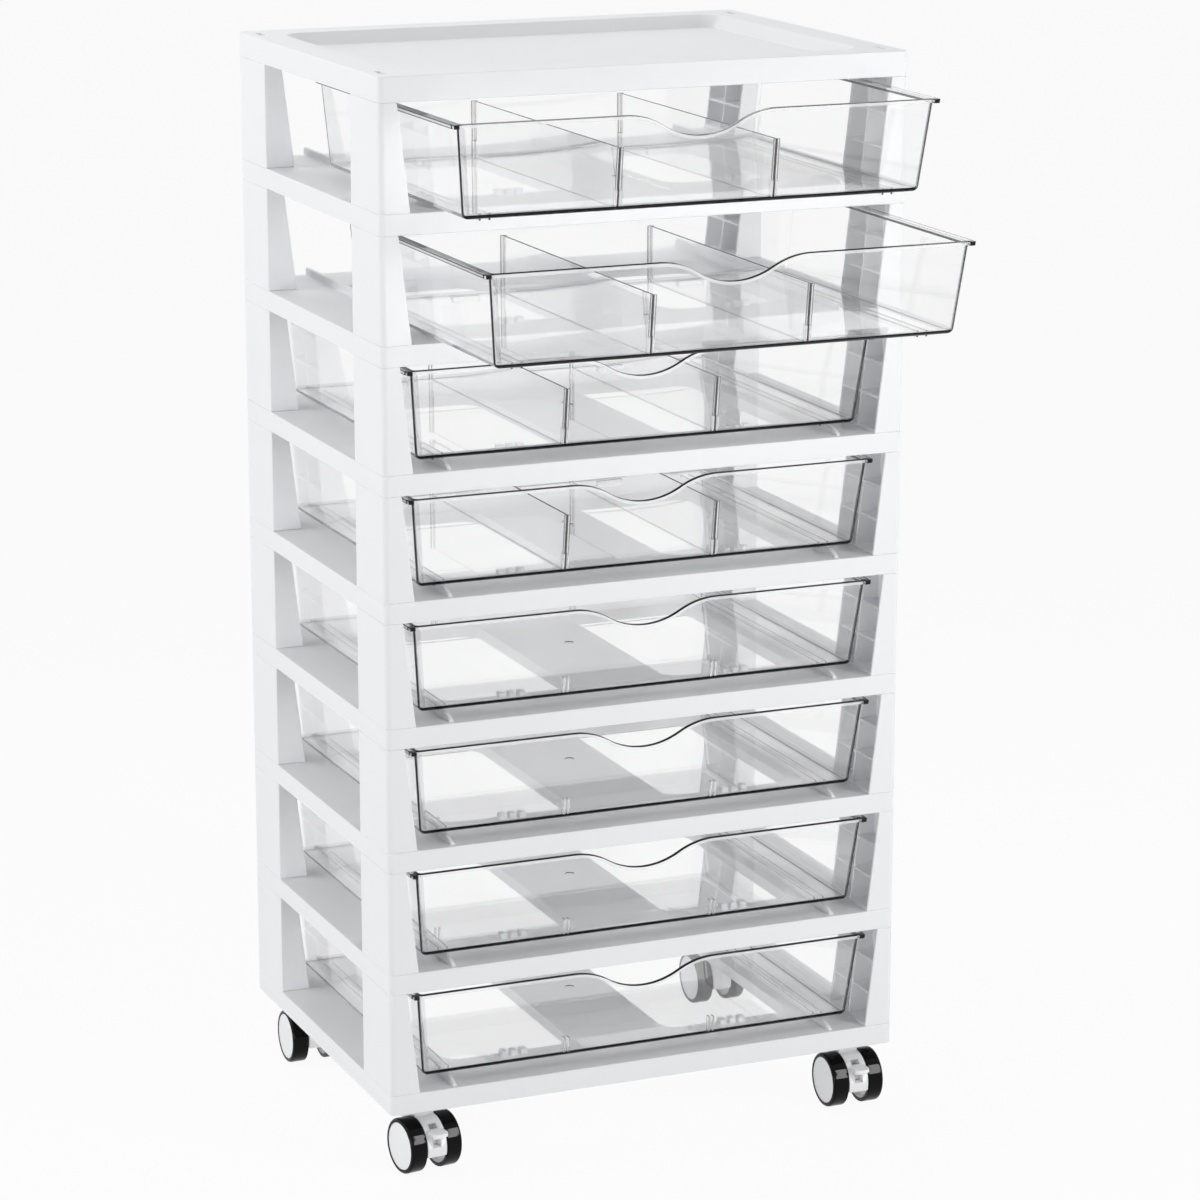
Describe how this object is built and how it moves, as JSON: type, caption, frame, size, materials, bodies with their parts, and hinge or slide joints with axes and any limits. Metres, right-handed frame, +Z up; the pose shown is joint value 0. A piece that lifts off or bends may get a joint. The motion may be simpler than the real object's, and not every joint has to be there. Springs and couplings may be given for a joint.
{
  "type": "drawer tower",
  "caption": "Freestanding storage tower whose clear tray drawers slide in a stack of white frames and corner posts, on swivelling twin-wheel casters.",
  "frame": {"origin": "on the floor, at the middle of the part's box with the two upper drawers pulled out as stored", "axes": "+X to the viewer's right facing the drawers, +Y to the back, +Z up; drawers pull out towards -Y"},
  "size_m": [0.39, 0.4372, 0.7743],
  "materials": {
    "white_plastic": "satin moulded",
    "clear_plastic": "clear polished",
    "caster_white": "gloss",
    "tyre_black": "gloss",
    "steel": "satin"
  },
  "bodies": {
    "stack": {"top_cover": "white_plastic", "shelf_frame_1": "white_plastic", "shelf_frame_2": "white_plastic", "shelf_frame_3": "white_plastic", "shelf_frame_4": "white_plastic", "shelf_frame_5": "white_plastic", "shelf_frame_6": "white_plastic", "shelf_frame_7": "white_plastic", "base_frame": "white_plastic", "corner_posts_1": "white_plastic", "corner_posts_2": "white_plastic", "corner_posts_3": "white_plastic", "corner_posts_4": "white_plastic", "corner_posts_5": "white_plastic", "corner_posts_6": "white_plastic", "corner_posts_7": "white_plastic", "corner_posts_8": "white_plastic", "caster_stems": "steel"},
    "drawer_1": {"drawer_1": "clear_plastic", "divider_1_left": "clear_plastic", "divider_1_right": "clear_plastic"},
    "drawer_2": {"drawer_2": "clear_plastic", "divider_2_left": "clear_plastic", "divider_2_right": "clear_plastic"},
    "drawer_3": {"drawer_3": "clear_plastic", "divider_3_left": "clear_plastic", "divider_3_right": "clear_plastic"},
    "drawer_4": {"drawer_4": "clear_plastic", "divider_4_left": "clear_plastic", "divider_4_right": "clear_plastic"},
    "drawer_5": {"drawer_5": "clear_plastic"},
    "drawer_6": {"drawer_6": "clear_plastic"},
    "drawer_7": {"drawer_7": "clear_plastic"},
    "drawer_8": {"drawer_8": "clear_plastic"},
    "swivel_front_left": {"hood_front_left": "caster_white"},
    "wheels_front_left": {"axle_front_left": "steel", "hubs_front_left": "caster_white", "tyres_front_left": "tyre_black"},
    "swivel_front_right": {"hood_front_right": "caster_white"},
    "wheels_front_right": {"axle_front_right": "steel", "hubs_front_right": "caster_white", "tyres_front_right": "tyre_black"},
    "swivel_rear_left": {"hood_rear_left": "caster_white"},
    "wheels_rear_left": {"axle_rear_left": "steel", "hubs_rear_left": "caster_white", "tyres_rear_left": "tyre_black"},
    "swivel_rear_right": {"hood_rear_right": "caster_white"},
    "wheels_rear_right": {"axle_rear_right": "steel", "hubs_rear_right": "caster_white", "tyres_rear_right": "tyre_black"},
    "brake_left": {"brake_lever_left": "caster_white"},
    "brake_right": {"brake_lever_right": "caster_white"}
  },
  "joints": [
    {"name": "drawer_1_slide", "type": "slide", "parent": "stack", "child": "drawer_1", "axis": [0, -1, 0], "range_m": [-0.092, 0.123]},
    {"name": "drawer_2_slide", "type": "slide", "parent": "stack", "child": "drawer_2", "axis": [0, -1, 0], "range_m": [-0.147, 0.068]},
    {"name": "drawer_3_slide", "type": "slide", "parent": "stack", "child": "drawer_3", "axis": [0, -1, 0], "range_m": [0, 0.215]},
    {"name": "drawer_4_slide", "type": "slide", "parent": "stack", "child": "drawer_4", "axis": [0, -1, 0], "range_m": [0, 0.215]},
    {"name": "drawer_5_slide", "type": "slide", "parent": "stack", "child": "drawer_5", "axis": [0, -1, 0], "range_m": [0, 0.215]},
    {"name": "drawer_6_slide", "type": "slide", "parent": "stack", "child": "drawer_6", "axis": [0, -1, 0], "range_m": [0, 0.215]},
    {"name": "drawer_7_slide", "type": "slide", "parent": "stack", "child": "drawer_7", "axis": [0, -1, 0], "range_m": [0, 0.215]},
    {"name": "drawer_8_slide", "type": "slide", "parent": "stack", "child": "drawer_8", "axis": [0, -1, 0], "range_m": [0, 0.215]},
    {"name": "swivel_front_left_turn", "type": "hinge", "parent": "stack", "child": "swivel_front_left", "pos_m": [-0.167, -0.05035, 0.045], "axis": [0, 0, 1], "continuous": true},
    {"name": "wheels_front_left_roll", "type": "hinge", "parent": "swivel_front_left", "child": "wheels_front_left", "pos_m": [-0.16533, -0.06223, 0.02], "axis": [0.9903, 0.1392, 0], "continuous": true},
    {"name": "brake_left_press", "type": "hinge", "parent": "swivel_front_left", "child": "brake_left", "pos_m": [-0.16397, -0.07189, 0.022], "axis": [0.9903, 0.1392, 0], "range_deg": [0, 14]},
    {"name": "swivel_front_right_turn", "type": "hinge", "parent": "stack", "child": "swivel_front_right", "pos_m": [0.167, -0.05035, 0.045], "axis": [0, 0, 1], "continuous": true},
    {"name": "wheels_front_right_roll", "type": "hinge", "parent": "swivel_front_right", "child": "wheels_front_right", "pos_m": [0.167, -0.06235, 0.02], "axis": [1, 0, 0], "continuous": true},
    {"name": "brake_right_press", "type": "hinge", "parent": "swivel_front_right", "child": "brake_right", "pos_m": [0.167, -0.0721, 0.022], "axis": [1, 0, 0], "range_deg": [0, 14]},
    {"name": "swivel_rear_left_turn", "type": "hinge", "parent": "stack", "child": "swivel_rear_left", "pos_m": [-0.167, 0.19165, 0.045], "axis": [0, 0, 1], "continuous": true},
    {"name": "wheels_rear_left_roll", "type": "hinge", "parent": "swivel_rear_left", "child": "wheels_rear_left", "pos_m": [-0.167, 0.17965, 0.02], "axis": [1, 0, 0], "continuous": true},
    {"name": "swivel_rear_right_turn", "type": "hinge", "parent": "stack", "child": "swivel_rear_right", "pos_m": [0.167, 0.19165, 0.045], "axis": [0, 0, 1], "continuous": true},
    {"name": "wheels_rear_right_roll", "type": "hinge", "parent": "swivel_rear_right", "child": "wheels_rear_right", "pos_m": [0.167, 0.17965, 0.02], "axis": [1, 0, 0], "continuous": true}
  ]
}
